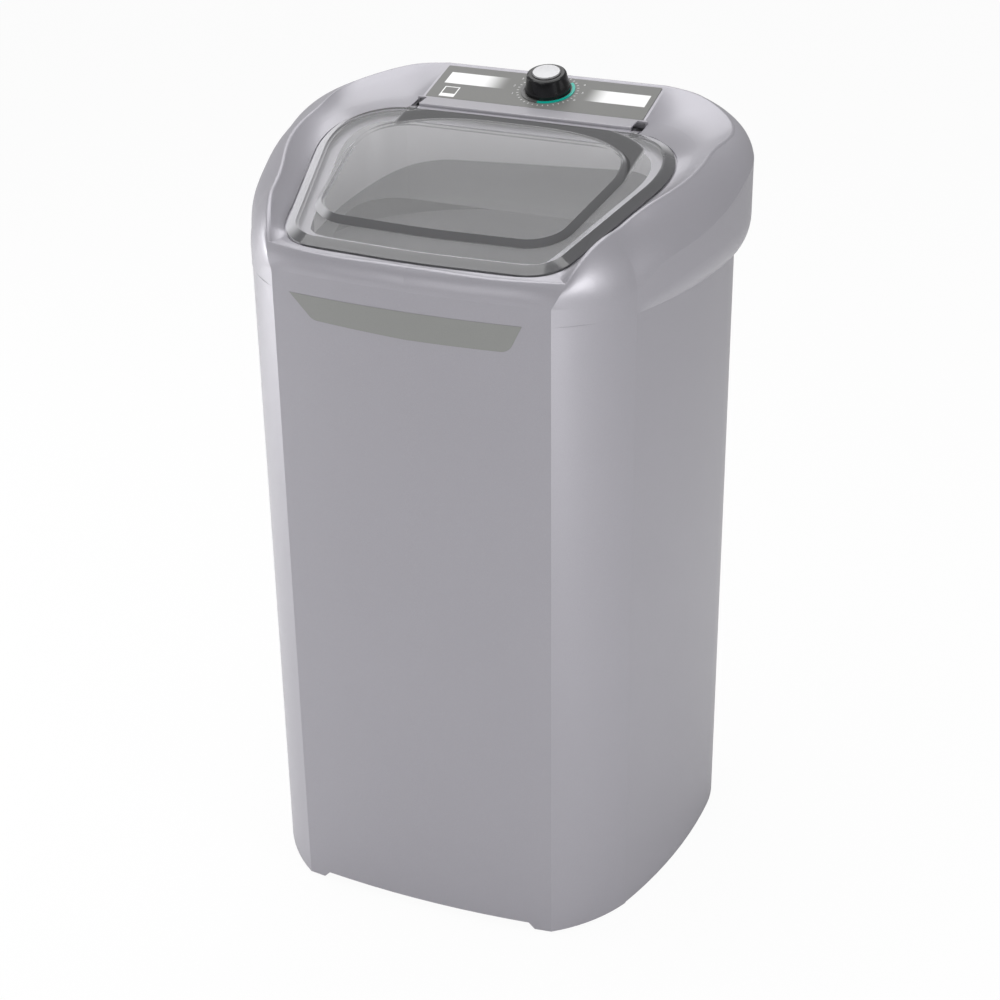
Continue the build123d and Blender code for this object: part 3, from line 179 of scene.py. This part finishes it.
def white_surround():
    world = bpy.data.worlds.new("studio")
    bpy.context.scene.world = world
    world.use_nodes = True
    tree = world.node_tree
    sky = tree.nodes["Background"]
    rays = tree.nodes.new("ShaderNodeLightPath")
    seen = tree.nodes.new("ShaderNodeMath")
    seen.operation = "MAXIMUM"
    tree.links.new(rays.outputs["Is Camera Ray"], seen.inputs[0])
    tree.links.new(rays.outputs["Is Transmission Ray"], seen.inputs[1])
    level = tree.nodes.new("ShaderNodeMapRange")
    level.inputs[3].default_value = ambient_level
    level.inputs[4].default_value = 1.0
    tree.links.new(seen.outputs[0], level.inputs[0])
    tree.links.new(level.outputs[0], sky.inputs["Strength"])
    sky.inputs["Color"].default_value = (1, 1, 1, 1)


white_surround()


def lamp(name, place, aim, size, watts):
    light = bpy.data.lights.new(name, "AREA")
    light.shape = "RECTANGLE"
    light.size, light.size_y = size
    light.energy = watts
    made = bpy.data.objects.new(name, light)
    bpy.context.scene.collection.objects.link(made)
    made.location = place
    made.rotation_euler = (Vector(aim) - Vector(place)).to_track_quat("-Z", "Y").to_euler()


lamp("panel_left", (-2.3, -0.45, 0.4), (0, 0, 0.3), (1.5, 1.4), 40)
lamp("panel_front", (-0.6, -3.0, 1.2), (0, 0, 0.4), (1.6, 1.6), 11.5)
lamp("panel_right", (1.75, -0.85, 1.06), (0.18, -0.2, 0.8), (0.5, 0.5), 10.5)
lamp("panel_low", (1.3, -1.2, 0.35), (0, 0, 0.4), (0.5, 0.7), 3.2)
lamp("panel_top", (-0.3, 0.2, 2.6), (0, 0, 0.6), (2.0, 1.6), 26)
lamp("panel_back", (-1.0, 1.5, 2.3), (0, 0, 0.8), (1.4, 1.2), 8)

floor_mesh = bpy.data.meshes.new("floor")
reach = 12.0
corners = [(-reach, -reach, 0), (reach, -reach, 0), (reach, reach, 0), (-reach, reach, 0)]
floor_mesh.from_pydata(corners, [], [(0, 1, 2, 3)])
floor = bpy.data.objects.new("floor", floor_mesh)
bpy.context.scene.collection.objects.link(floor)


def floor_finish():
    paper = Finish("floor_paper", Roughness=0.9)
    paper.set("Base Color", paper.blend(paper.noise(3.0), (0.86, 0.86, 0.86), (0.9, 0.9, 0.9)))
    rays = paper.node("ShaderNodeLightPath", {}, {}, "Is Camera Ray")
    glow = paper.node("ShaderNodeEmission", {}, {"Color": (1, 1, 1), "Strength": 1.0})
    output = paper.tree.nodes["Material Output"]
    surface = Field(paper, paper.surface.outputs[0])
    mixed = paper.node("ShaderNodeMixShader", {}, {0: rays * floor_glow, 1: surface, 2: glow})
    paper.tree.links.new(mixed.socket, output.inputs["Surface"])
    return paper.material


floor_mesh.materials.append(floor_finish())


def dress(finish, *nodes):
    """Give carried-over parts a finish."""
    for node in nodes:
        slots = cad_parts[node].material_slots
        for slot in slots:
            slot.material = finish


# The wall inside the mouth carries painted light and shade: a painted pale band of light
# above a line, and painted shade below it. Its line isn't level: height, tilt and fall to
# the left were fitted to what the photograph shows through the window from its own side.
wall_radius = 0.2
wall_top = 0.874
line_height = 0.834
line_tilt = 0.06
line_fall = 3.0
fall_start = -0.07
shade_depth = 0.12


def inner_wall(finish, tone):
    """Painted light and shade on the wall round the mouth: a painted pale band above a line that
    tilts across and falls to the left, and below it painted shade, a grey that lightens downwards."""
    x, y, z = finish.axes(finish.place())
    radius = (x * x + (y - tub_axis) * (y - tub_axis)) ** 0.5
    lean = finish.axes(finish.node("ShaderNodeTexCoord", {}, {}, "Normal"))[2]
    upright = 1 - abs(lean).rises(0.4, 0.6)
    inside = 1 - radius.rises(wall_radius, wall_radius + 0.002)
    inside = inside * (1 - z.rises(wall_top, wall_top + 0.002)) * upright
    left = (fall_start - x).most(0.0)
    line = line_height + x * line_tilt - left * left * line_fall
    depth = line - z
    lit = depth.rises(0.0, shade_depth)
    # Painted shade below the line, lightening downwards, and a painted pale band of light above
    # it.
    below = finish.blend(lit, srgb(144, 144, 146), srgb(240, 240, 242))
    wall = finish.blend(depth.rises(-0.0004, 0.0004), srgb(240, 239, 242), below)
    return finish.blend(inside, tone, wall)


tub_box = [Vector(corner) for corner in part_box("tub")]
tub_axis = (tub_box[0].y + tub_box[1].y) / 2


# Cabinet and top cover. Both are injection moulded in the same metallic silver-grey
# plastic: a fine sparkle under a satin skin, with a faint orange-peel from the tool.
def silver_moulding(name, with_painted_wall_light):
    silver = Finish(name, Metallic=0.35, Coat_Roughness=0.22)
    flakes = silver.noise(2600.0, 1.0).rises(0.35, 0.75)
    drift = silver.noise(3.0, 2.0)
    tone = silver.blend(drift, srgb(156, 154, 161), srgb(162, 160, 167))
    tone = silver.blend(flakes * 0.35, tone, srgb(182, 180, 187))
    # The top cover's collar round the mouth carries the wall's painted light and shade.
    silver.set("Base Color", inner_wall(silver, tone) if with_painted_wall_light else tone)
    silver.set("Roughness", 0.36 + silver.noise(18.0) * 0.05 + flakes * 0.04)
    silver.set("Coat Weight", 0.25)
    peel = silver.noise(420.0, 2.0)
    silver.set("Normal", silver.bump(peel, 0.06, 0.0002))
    return silver.material


plain_silver = silver_moulding("silver_moulding", False)
dress(plain_silver, "cabinet_front", "cabinet_shell", "hinge_brackets")
dress(silver_moulding("silver_cover", True), "top_cover")


# Badge band under the cover's joint. A matt grey plastic inlay, die cut and glued in a
# shallow recess of the front panel; it is bare.
def badge_film():
    film = Finish("badge_film")
    grain = film.noise(900.0, 2.0)
    film.set("Base Color", film.blend(grain, srgb(133, 134, 132), srgb(141, 142, 140)))
    film.set("Roughness", 0.5 + grain * 0.12)
    film.set("Normal", film.bump(grain, 0.05, 0.0001))
    return film.material


dress(badge_film(), "badge_band")


# Control label. A screen-printed plastic plate glued on the sloping panel: grey, with
# two pale blocks that fade inwards, a small square field, and a scale round the knob.
label_tilt = math.radians(12.5)
label_low, label_high = (Vector(corner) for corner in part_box("control_label"))
label_middle = (label_low + label_high) / 2
knob_low, knob_high = (Vector(corner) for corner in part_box("knob"))
knob_middle = (knob_low + knob_high) / 2


def label_axes(finish):
    """Across and up the label, in metres from its middle."""
    x, y, _ = finish.axes(finish.place())
    return x, (y - label_middle.y) / math.cos(label_tilt)


def dial_axes(finish):
    """Across and up the dial, in metres from the knob's middle."""
    x, y, _ = finish.axes(finish.place())
    return x - knob_middle.x, (y - knob_middle.y) / math.cos(label_tilt)


def patch(across, up, sides, ends, soft=0.0004):
    """1 on a printed rectangle between its two sides and its two ends."""
    return across.within(*sides, soft) * up.within(*ends, soft)


tick_count = 36


def label_print():
    ink = Finish("label_print")
    across, up = label_axes(ink)
    weave = ink.noise(1400.0, 2.0)
    ground = ink.blend(weave, srgb(106, 106, 104), srgb(114, 114, 112))
    left = patch(across, up, (-0.124, -0.046), (-0.003, 0.023))
    left = left * (1 - across.rises(-0.082, -0.046))
    right = patch(across, up, (0.05, 0.127), (-0.0095, 0.0173))
    right = right * across.rises(0.05, 0.08)
    field = patch(across, up, (-0.119, -0.1), (-0.034, -0.0108), 0.0003)
    inner = patch(across, up, (-0.1176, -0.1014), (-0.027, -0.0122), 0.0003)
    pale = left.most(right).most(field * (1 - inner))
    dial_up = (knob_middle.y - label_middle.y) / math.cos(label_tilt)
    dx, dy = across - knob_middle.x, up - dial_up
    radius = (dx * dx + dy * dy) ** 0.5
    turn = dy.angle(dx) * (tick_count / math.tau)
    tick = (turn + 0.5).fraction().within(0.42, 0.58, 0.03)
    pale = pale.most(tick * radius.within(0.0345, 0.037, 0.0002) * 0.7)
    ink.set("Base Color", ink.blend(pale, ground, srgb(240, 240, 240)))
    ink.set("Roughness", 0.5 + weave * 0.08)
    ink.set("Coat Weight", 0.05)
    return ink.material


dress(label_print(), "control_label")


# Scale numbers. Plain figures in pale ink on both sides of the knob, printed with the
# label's other marks and lying on its face.
def scale_ink():
    pale = Finish("scale_ink", Roughness=0.45)
    pale.set("Base Color", pale.blend(pale.noise(900.0), srgb(214, 214, 214), srgb(228, 228, 228)))
    return pale.material


number_radius = 0.0425
number_height = 0.0055
number_lift = 0.0005
number_angles = (205, 180, 155, 25, 0, -25)
number_finish = scale_ink()
label_normal = Vector((0, -math.sin(label_tilt), math.cos(label_tilt)))
label_across, label_up = Vector((1, 0, 0)), Vector((0, math.cos(label_tilt), math.sin(label_tilt)))
dial_rise = (knob_middle - label_middle).dot(label_up)
dial_middle = label_middle + label_up * dial_rise + label_across * knob_middle.x
for number, angle in enumerate(number_angles, 1):
    figure = bpy.data.curves.new(f"scale_{number}", "FONT")
    figure.body = str(number)
    figure.size = number_height
    figure.align_x = "CENTER"
    figure.align_y = "CENTER"
    figure.materials.append(number_finish)
    printed = bpy.data.objects.new(f"scale_{number}", figure)
    bpy.context.scene.collection.objects.link(printed)
    aim = math.radians(angle)
    spread = label_across * math.cos(aim) + label_up * math.sin(aim)
    printed.location = dial_middle + spread * number_radius + label_normal * number_lift
    printed.rotation_euler = (label_tilt, 0, 0)
    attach(printed, "cabinet")


# The hinge strip behind the lid is moulded in the cover's colour, a shade lighter.
def strip_moulding():
    strip = Finish("strip_moulding", Metallic=0.1)
    fine = strip.noise(700.0, 2.0)
    strip.set("Base Color", strip.blend(fine, srgb(160, 158, 164), srgb(168, 166, 172)))
    strip.set("Roughness", 0.4 + fine * 0.06)
    strip.set("Normal", strip.bump(fine, 0.05, 0.0001))
    return strip.material


dress(strip_moulding(), "hinge_cover")


# Timer knob. A smooth gloss black moulding with a flared skirt, topped by a spun metal
# disc, inside a two-colour ring printed on the label.
def knob_plastic():
    black = Finish("knob_plastic", Specular_IOR_Level=0.25)
    smudge = black.noise(60.0, 4.0)
    black.set("Base Color", black.blend(smudge, (0.006, 0.006, 0.007), (0.012, 0.012, 0.013)))
    black.set("Roughness", 0.12 + smudge * 0.08)
    black.set("Coat Weight", 0.1)
    return black.material


def spun_metal():
    disc = Finish("spun_metal", Metallic=1.0)
    dx, dy = dial_axes(disc)
    radius = (dx * dx + dy * dy) ** 0.5
    sockets = {"W": radius * 9000.0, "Detail": 2.0}
    rings = disc.node("ShaderNodeTexNoise", {"noise_dimensions": "1D"}, sockets)
    disc.set("Base Color", disc.blend(rings, (0.34, 0.34, 0.35), (0.48, 0.48, 0.49)))
    disc.set("Roughness", 0.28 + rings * 0.14)
    disc.set("Normal", disc.bump(rings, 0.08, 0.0001))
    return disc.material


def dial_print():
    ring = Finish("dial_print", Roughness=0.35)
    dx, dy = dial_axes(ring)
    teal = dy.angle(dx).within(-1.65, 0.75, 0.02)
    grain = ring.noise(800.0)
    dark = ring.blend(grain, srgb(70, 70, 70), srgb(90, 90, 90))
    ring.set("Base Color", ring.blend(teal, dark, srgb(0, 176, 158)))
    return ring.material


dress(knob_plastic(), "knob")
dress(spun_metal(), "knob_cap")
dress(dial_print(), "dial_ring")


# Lid. One clear moulding in smoke grey: a rim, a slope, a flat ring and a raised
# window, two and a half millimetres thick, with a polished face. The slopes carry painted
# shade, denser than the flats, and those turned to the rear and the left painted light,
# paler and clearer, to match the photograph from its own side; the moulding is the same
# all round. A zone of painted shade, matched in the same way, follows the rear edge. The
# ears in their slots are solid.
lid_rise = 0.187
shade_zone_middle = Vector((0, -0.06))
shade_zone_reach = Vector((0.178, 0.147))
shade_zone_half = 0.075
shade_zone_soft = 0.012
shade_zone_left, shade_zone_right = -0.136, 0.163
lid_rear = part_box("hinge_pins")[0][1] - 0.015


def smoke_plastic():
    smoke = Finish("smoke_plastic", IOR=1.49)
    haze = smoke.noise(40.0, 3.0)
    x, y, z = smoke.axes(smoke.node("ShaderNodeTexCoord", {}, {}, "Normal"))
    facing = abs(z - y * lid_rise) / math.hypot(1, lid_rise)
    flat = facing.rises(0.9, 0.985)
    # Painted light: slopes turned to the left and the rear are paler and clearer.
    painted_light_slopes = (-x).most(y + lid_rise).rises(0.2, 0.4) * (1 - flat)
    upward = z.rises(0.2, 0.4)
    x, y, z = smoke.axes(smoke.place())
    # Painted shade: a dark zone that follows the rear edge.
    right = (abs(x) / shade_zone_reach.x) ** 3.0
    back = ((y - shade_zone_middle.y).most(0.0) / shade_zone_reach.y) ** 3.0
    edge = (right + back) ** (1 / 3)
    band = edge.within(1 - shade_zone_half, 1 + shade_zone_half, shade_zone_soft)
    painted_shade_zone = band * x.within(shade_zone_left, shade_zone_right, 0.003) * upward
    ears = y.rises(lid_rear - 0.001, lid_rear + 0.001)
    # Painted shade darkens the slopes, painted light pales those turned left and rear, and the
    # rear zone is painted shade.
    tone = smoke.blend(flat, srgb(96, 96, 98), srgb(206, 206, 208))
    painted_light_slopes = painted_light_slopes * (1 - painted_shade_zone)
    tone = smoke.blend(painted_light_slopes, tone, srgb(206, 206, 209))
    tone = smoke.blend(painted_shade_zone, tone, srgb(62, 62, 64))
    smoke.set("Base Color", smoke.blend(ears, tone, srgb(150, 148, 154)))
    clear = 0.88 - flat * 0.75 + haze * 0.03
    smoke.set("Alpha", clear.most(painted_light_slopes * 0.6).most(painted_shade_zone * 0.92).most(ears))
    smoke.set("Roughness", 0.05 + haze * 0.05 + painted_shade_zone * 0.5)
    smoke.set("Coat Weight", 0.4 - painted_shade_zone * 0.4)
    return smoke.material


dress(smoke_plastic(), "lid")


# Wash tub and agitator. Polypropylene mouldings in a mid grey, satin from the tool.
def tub_plastic():
    grey = Finish("tub_plastic")
    fine = grey.noise(300.0, 2.0)
    tone = grey.blend(fine, srgb(176, 176, 179), srgb(184, 184, 187))
    # The tub's wall round the mouth carries painted light and shade.
    grey.set("Base Color", inner_wall(grey, tone))
    grey.set("Roughness", 0.42 + fine * 0.1)
    grey.set("Normal", grey.bump(fine, 0.06, 0.0002))
    return grey.material


dress(tub_plastic(), "tub", "agitator", "agitator_cap")


# Rubber: feet, lid pads, seal, drain hose, drive belt, the motor's spacers and the
# sleeve of the wire loom.
def moulded_rubber():
    rubber = Finish("moulded_rubber")
    bloom = rubber.noise(120.0, 4.0)
    rubber.set("Base Color", rubber.blend(bloom, (0.014, 0.014, 0.014), (0.035, 0.035, 0.036)))
    rubber.set("Roughness", 0.6 + bloom * 0.2)
    rubber.set("Normal", rubber.bump(bloom, 0.15, 0.0002))
    return rubber.material


dress(
    moulded_rubber(), "rubber_feet", "lid_bumpers", "shaft_seal", "drain_hose", "drive_belt",
    "motor_spacers", "wire_harness",
)


# Zinc-plated steel: screws, pins, shafts, nut and clamps.
def plated_steel():
    steel = Finish("plated_steel", Metallic=1.0)
    cloud = steel.noise(150.0, 4.0)
    steel.set("Base Color", steel.blend(cloud, (0.5, 0.5, 0.49), (0.66, 0.65, 0.62)))
    steel.set("Roughness", 0.28 + cloud * 0.2)
    return steel.material


dress(
    plated_steel(), "hinge_pins", "service_screws", "base_screws", "deck_screws",
    "timer_screws", "housing_bolts", "spindle", "agitator_screw", "spindle_nut",
    "bridge_screws", "motor_bolts", "motor_shaft", "capacitor_clamp", "hose_clamps",
)


# Painted sheet steel: the rear service cover and the motor's bridge.
def black_paint():
    paint = Finish("black_paint")
    peel = paint.noise(260.0, 2.0)
    paint.set("Base Color", paint.blend(peel, (0.05, 0.05, 0.052), (0.075, 0.075, 0.078)))
    paint.set("Roughness", 0.45 + peel * 0.1)
    paint.set("Normal", paint.bump(peel, 0.12, 0.0002))
    return paint.material


dress(black_paint(), "rear_cover", "motor_bridge")


# Black technical mouldings: base plate and rim, timer case, cord gland, drain fittings.
def black_moulding():
    black = Finish("black_moulding")
    grain = black.noise(500.0, 3.0)
    black.set("Base Color", black.blend(grain, (0.02, 0.02, 0.021), (0.04, 0.04, 0.041)))
    black.set("Roughness", 0.5 + grain * 0.15)
    black.set("Normal", black.bump(grain, 0.12, 0.0002))
    return black.material


dress(
    black_moulding(), "base_plate", "base_rim", "timer", "cord_gland", "drain_outlet",
    "drain_spigot",
)


# Natural white mouldings: the timer's shaft, the cooling fan and the capacitor's can.
def natural_moulding():
    white = Finish("natural_moulding")
    fine = white.noise(200.0, 2.0)
    white.set("Base Color", white.blend(fine, (0.62, 0.61, 0.58), (0.72, 0.71, 0.68)))
    white.set("Roughness", 0.4 + fine * 0.1)
    return white.material


dress(natural_moulding(), "timer_shaft", "motor_fan", "capacitor")


# Die-cast alloy: bearing housing, pulleys and the motor's end shields.
def die_casting():
    cast = Finish("die_casting", Metallic=0.9)
    skin = cast.noise(90.0, 5.0)
    cast.set("Base Color", cast.blend(skin, (0.42, 0.42, 0.43), (0.58, 0.58, 0.59)))
    cast.set("Roughness", 0.42 + skin * 0.2)
    cast.set("Normal", cast.bump(skin, 0.2, 0.0003))
    return cast.material


dress(die_casting(), "bearing_housing", "driven_pulley", "motor_pulley", "motor_shields")


# Motor core, windings and bearings: stacked steel sheets, varnished copper, bronze.
def laminations():
    stack = Finish("laminations", Metallic=0.8)
    sheets_per_metre = 1000.0
    _, _, z = stack.axes(stack.place())
    sheets = (z * sheets_per_metre).fraction()
    stack.set("Base Color", stack.blend(sheets, (0.12, 0.12, 0.125), (0.25, 0.25, 0.26)))
    stack.set("Roughness", 0.45 + sheets * 0.1)
    return stack.material


def varnished_copper():
    copper = Finish("varnished_copper", Metallic=0.85)
    wire = copper.noise(900.0, 1.0)
    copper.set("Base Color", copper.blend(wire, (0.35, 0.13, 0.05), (0.62, 0.28, 0.12)))
    copper.set("Roughness", 0.3 + wire * 0.15)
    return copper.material


def sintered_bronze():
    bronze = Finish("sintered_bronze", Metallic=0.95)
    pores = bronze.noise(1500.0, 2.0)
    bronze.set("Base Color", bronze.blend(pores, (0.4, 0.26, 0.11), (0.62, 0.44, 0.22)))
    bronze.set("Roughness", 0.38 + pores * 0.2)
    return bronze.material


dress(laminations(), "motor_stator", "rotor")
dress(varnished_copper(), "motor_windings")
dress(sintered_bronze(), "bushes", "motor_bearings")


bpy.context.scene.view_settings.view_transform = "Standard"
